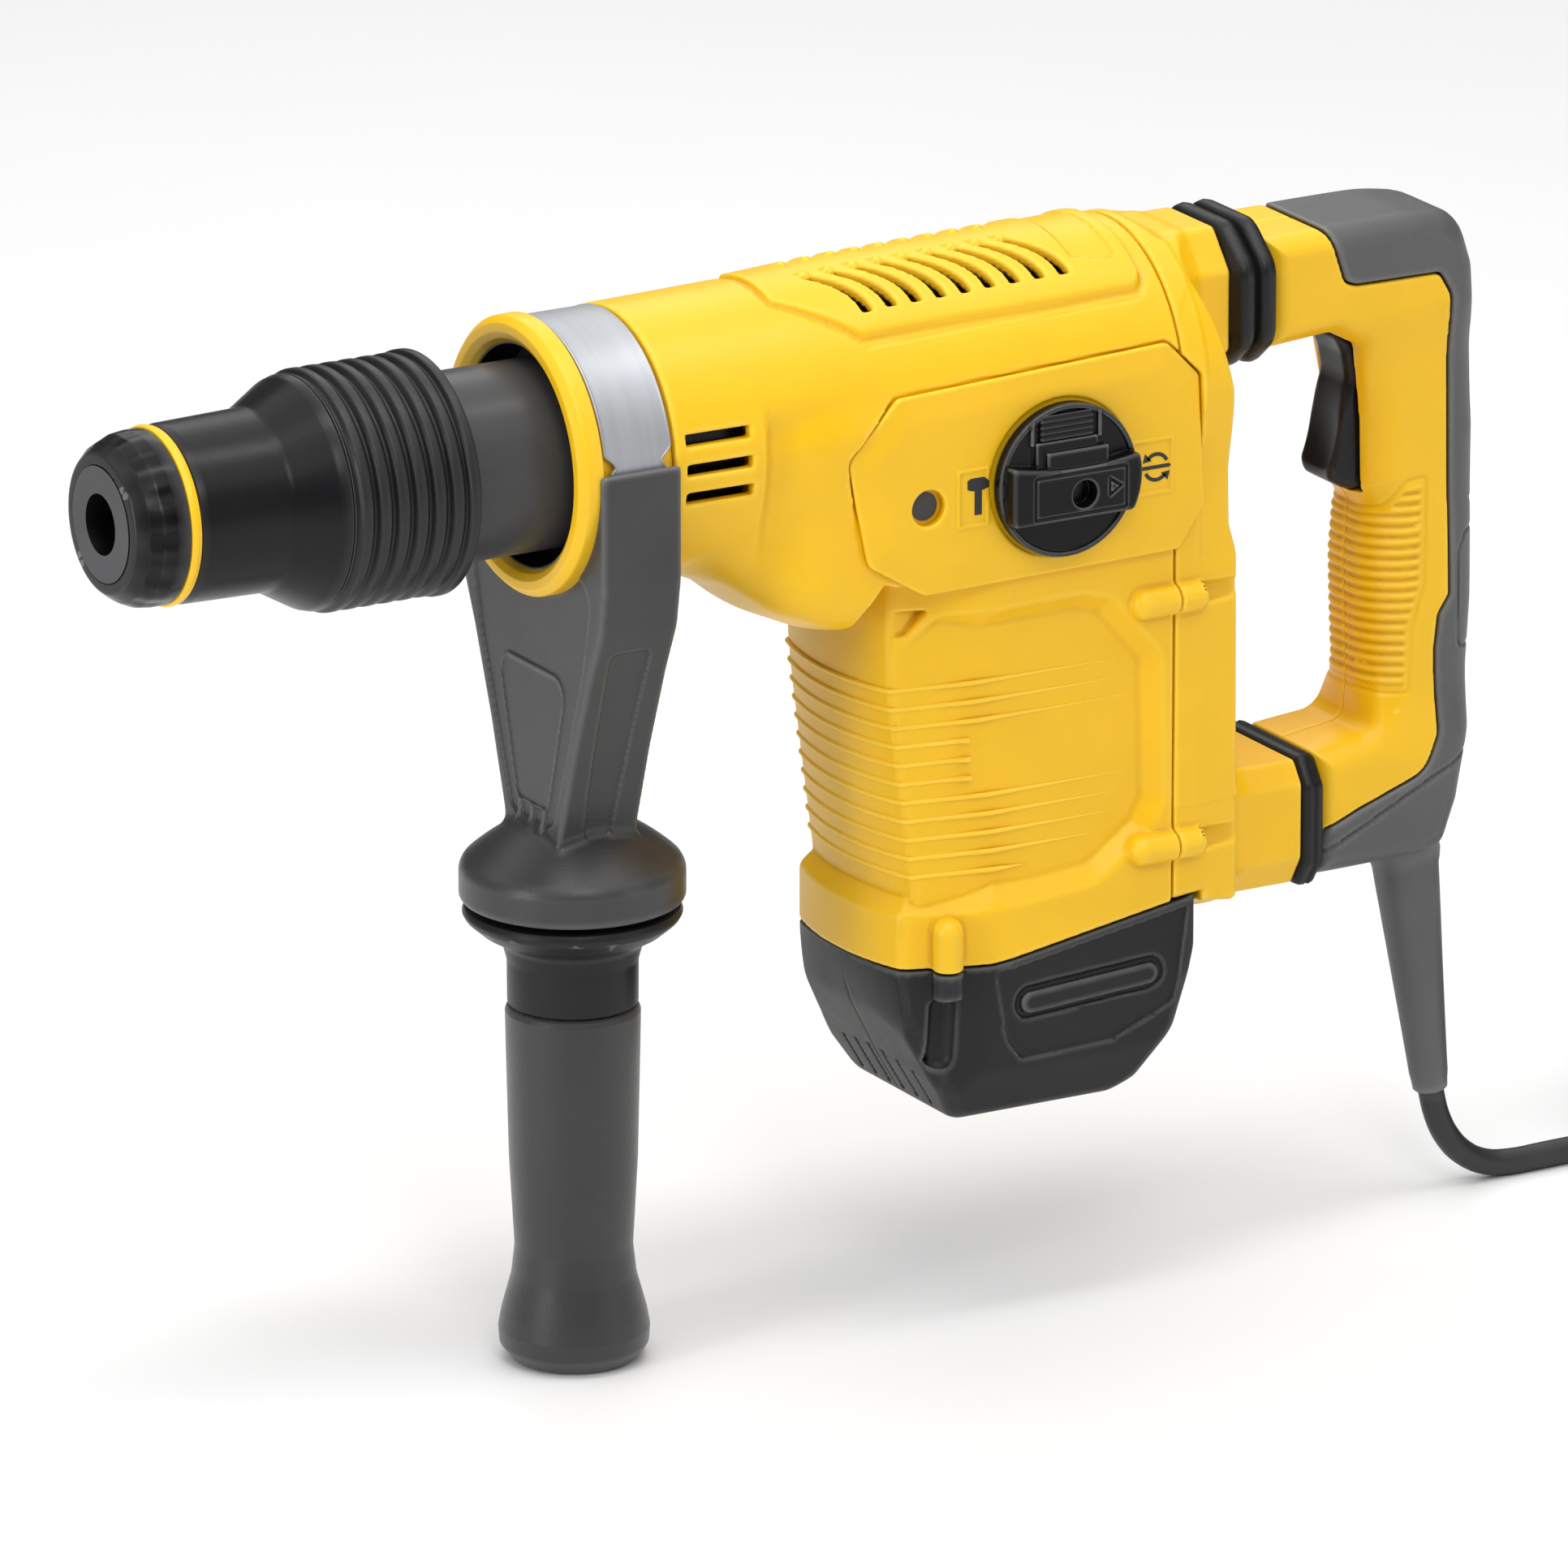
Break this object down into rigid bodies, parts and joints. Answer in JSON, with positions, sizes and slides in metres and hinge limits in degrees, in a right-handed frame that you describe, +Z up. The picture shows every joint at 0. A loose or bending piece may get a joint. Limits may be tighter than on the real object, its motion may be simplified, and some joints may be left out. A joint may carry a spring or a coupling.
{
  "type": "demolition hammer",
  "caption": "Demolition hammer with a keyless tool holder, swinging side handle, upright motor, mode knob, sprung D handle and mains cord.",
  "frame": {"origin": "centre of the tool bore's mouth, at the nose", "axes": "-X out of the tool bore along the barrel axis, +X back towards the rear handle, +Z up, away from the side grip; the mode knob faces -Y"},
  "size_m": [0.6669, 0.134, 0.3235],
  "materials": {
    "yellow_plastic": "satin moulded",
    "black_plastic": "satin",
    "charcoal_plastic": "fine grain",
    "grey_rubber": "soft matte",
    "black_rubber": "matte",
    "band_steel": "satin",
    "machined_steel": "ground",
    "cast_metal": "cast",
    "laminated_iron": "varnished stack",
    "bronze": "turned",
    "copper": "turned",
    "brass": "bright",
    "carbon": "matte graphite"
  },
  "bodies": {
    "root": {"gearcase_nose": "black_plastic", "front_collar": "yellow_plastic", "spindle_bush": "bronze", "hammer_cylinder": "machined_steel", "barrel_housing": "yellow_plastic", "side_plate_left": "yellow_plastic", "side_plate_right": "yellow_plastic", "motor_housing": "yellow_plastic", "rear_housing": "yellow_plastic", "motor_cap": "charcoal_plastic", "gear_plate": "cast_metal", "ball_bearings": "machined_steel", "stator_core": "laminated_iron", "brush_holders": "brass", "carbon_brushes": "carbon", "housing_screws": "machined_steel", "damper_spring": "machined_steel", "top_bellows": "black_rubber", "lower_seal": "black_rubber"},
    "tool_holder": {"tool_holder": "machined_steel", "dust_cap": "black_rubber", "marking_ring": "yellow_plastic", "locking_rollers": "machined_steel", "sleeve_spring": "machined_steel"},
    "locking_sleeve": {"locking_sleeve": "charcoal_plastic", "sleeve_grip": "black_rubber"},
    "beat_piece": {"beat_piece": "machined_steel"},
    "ram": {"ram": "machined_steel"},
    "piston": {"piston": "machined_steel", "wrist_pin": "machined_steel"},
    "con_rod": {"con_rod": "machined_steel"},
    "armature": {"armature_shaft": "machined_steel", "armature_core": "laminated_iron", "commutator": "copper", "cooling_fan": "charcoal_plastic"},
    "crank": {"crankshaft": "machined_steel", "crank_gear": "machined_steel"},
    "mode_knob": {"mode_knob": "black_plastic"},
    "lock_button": {"lock_button": "black_plastic"},
    "side_handle": {"clamp_band": "band_steel", "handle_yoke": "charcoal_plastic", "clamp_bolt": "machined_steel"},
    "side_grip": {"clamp_nut": "machined_steel", "side_grip_core": "charcoal_plastic", "side_grip_sleeve": "grey_rubber"},
    "rear_handle": {"handle_shell_left": "yellow_plastic", "handle_shell_right": "yellow_plastic", "handle_overmould": "grey_rubber", "handle_screws": "machined_steel", "pivot_pin": "machined_steel", "switch_block": "black_plastic", "trigger_pin": "machined_steel", "cord_clamp": "charcoal_plastic", "cord_guard": "grey_rubber", "power_cord": "black_rubber", "cord_coil": "black_rubber", "plug_body": "black_rubber", "plug_pins": "brass"},
    "trigger": {"trigger": "black_plastic"}
  },
  "joints": [
    {"name": "tool_holder_turn", "type": "hinge", "parent": "root", "child": "tool_holder", "pos_m": [0, 0, 0], "axis": [-1, 0, 0], "continuous": true},
    {"name": "sleeve_pull", "type": "slide", "parent": "tool_holder", "child": "locking_sleeve", "axis": [1, 0, 0], "range_m": [0, 0.01], "stiffness_N_per_m": 1500, "springref_m": -0.012, "deforming": ["sleeve_spring"]},
    {"name": "beat_piece_slide", "type": "slide", "parent": "tool_holder", "child": "beat_piece", "axis": [1, 0, 0], "range_m": [0, 0.006]},
    {"name": "ram_slide", "type": "slide", "parent": "root", "child": "ram", "axis": [1, 0, 0], "range_m": [0, 0.008]},
    {"name": "piston_stroke", "type": "slide", "parent": "root", "child": "piston", "axis": [1, 0, 0], "range_m": [0, 0.024]},
    {"name": "con_rod_swing", "type": "hinge", "parent": "piston", "child": "con_rod", "pos_m": [0.20425, 0, 0], "axis": [0, 0, 1], "range_deg": [-17, 17]},
    {"name": "armature_spin", "type": "hinge", "parent": "root", "child": "armature", "pos_m": [0.29, 0, -0.15], "axis": [0, 0, 1], "continuous": true},
    {"name": "crank_spin", "type": "hinge", "parent": "root", "child": "crank", "pos_m": [0.25625, 0, -0.05], "axis": [0, 0, 1], "continuous": true},
    {"name": "mode_knob_turn", "type": "hinge", "parent": "root", "child": "mode_knob", "pos_m": [0.2928, -0.045, -0.0187], "axis": [0, 1, 0], "range_deg": [0, 180]},
    {"name": "lock_button_press", "type": "slide", "parent": "mode_knob", "child": "lock_button", "axis": [0, 1, 0], "range_m": [0, 0.002], "stiffness_N_per_m": 1500, "springref_m": -0.002},
    {"name": "rear_handle_damping", "type": "hinge", "parent": "root", "child": "rear_handle", "pos_m": [0.405, 0, -0.147], "axis": [0, -1, 0], "range_deg": [0, 1.5], "stiffness_Nm_per_rad": 600, "springref_deg": -0.57, "deforming": ["top_bellows", "damper_spring", "lower_seal"]},
    {"name": "trigger_squeeze", "type": "hinge", "parent": "rear_handle", "child": "trigger", "pos_m": [0.416, 0, -0.008], "axis": [0, -1, 0], "range_deg": [0, 7], "stiffness_Nm_per_rad": 2, "springref_deg": -8.59},
    {"name": "side_handle_swing", "type": "hinge", "parent": "root", "child": "side_handle", "pos_m": [0.1535, 0, 0], "axis": [1, 0, 0], "continuous": true},
    {"name": "side_grip_turn", "type": "hinge", "parent": "side_handle", "child": "side_grip", "pos_m": [0.1535, 0, -0.2], "axis": [0, 0, 1], "range_deg": [0, 350]}
  ],
  "couplings": [
    {"joint": "crank_spin", "follows": "armature_spin", "ratio": -0.22727}
  ]
}
